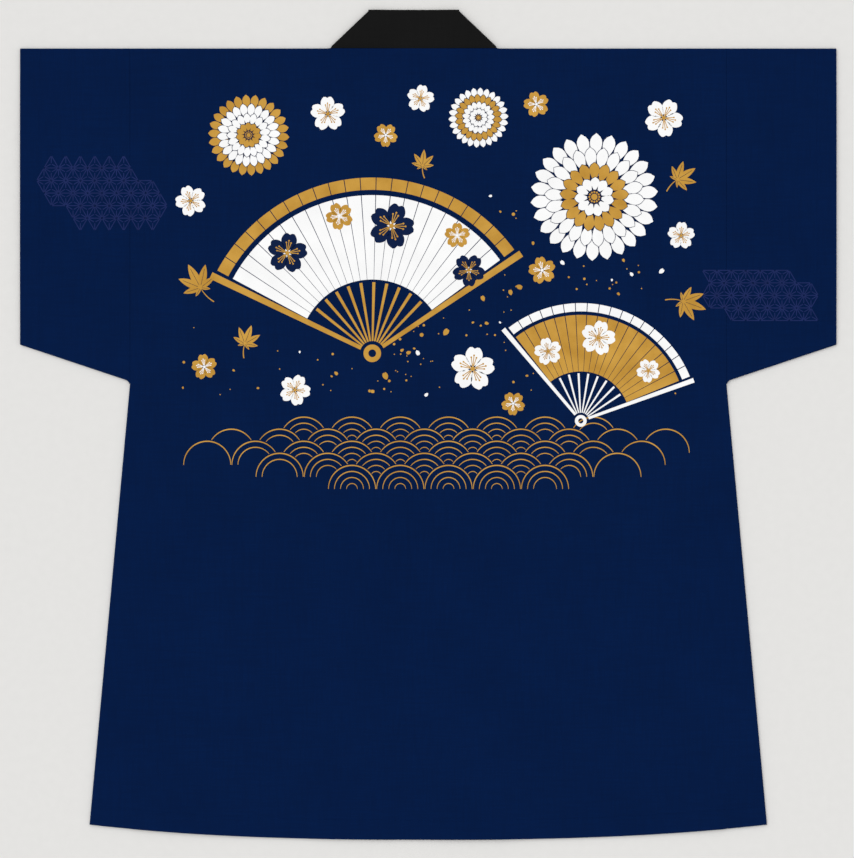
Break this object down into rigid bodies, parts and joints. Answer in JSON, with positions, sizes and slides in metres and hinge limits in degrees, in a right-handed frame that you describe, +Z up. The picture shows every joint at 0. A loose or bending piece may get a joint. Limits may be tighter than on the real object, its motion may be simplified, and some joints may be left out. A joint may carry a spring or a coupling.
{
  "type": "happi coat",
  "caption": "Happi coat laid flat with its back up: short wide tube sleeves, flared body with a curved hem, black folded collar band, printed navy cloth.",
  "frame": {"origin": "bottom centre of the coat's box, on the surface that the coat rests on", "axes": "+Y along the length, from the hem to the collar; +X along the shoulder line, to the right as seen from above; +Z up, out of the coat's back"},
  "size_m": [0.846, 0.86, 0.0039],
  "materials": {
    "navy_cloth": "matt plain weave, navy",
    "black_collar": "matt close weave, black",
    "white_ink": "matt white textile print",
    "gold_ink": "matt ochre gold textile print",
    "indigo_ink": "matt indigo textile print, tone on tone"
  },
  "bodies": {
    "root": {"back": "navy_cloth", "front_left": "navy_cloth", "front_right": "navy_cloth", "sleeve_left": "navy_cloth", "sleeve_right": "navy_cloth", "collar": "black_collar"}
  },
  "joints": []
}
